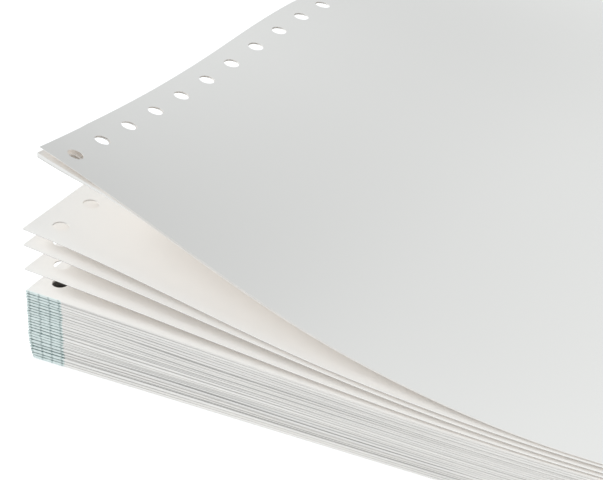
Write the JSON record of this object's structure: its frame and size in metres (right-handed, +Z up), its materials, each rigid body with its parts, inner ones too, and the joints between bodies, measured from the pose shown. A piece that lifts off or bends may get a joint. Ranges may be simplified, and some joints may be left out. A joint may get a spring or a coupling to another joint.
{
  "type": "stack of continuous form paper",
  "caption": "Fan-folded pile of continuous form paper with sprocket holes down both margins and the top leaves curling up at the front left corner.",
  "frame": {"origin": "middle of the underside of the pile, between the two side edges and between the front and back folds", "axes": "+Z up, +Y from the front folds to the back folds, +X across the form to the right, square to the sprocket hole rows"},
  "size_m": [0.241, 0.2794, 0.0579],
  "materials": {
    "paper": "matte"
  },
  "bodies": {
    "root": {"paper_stack": "paper"}
  },
  "joints": []
}
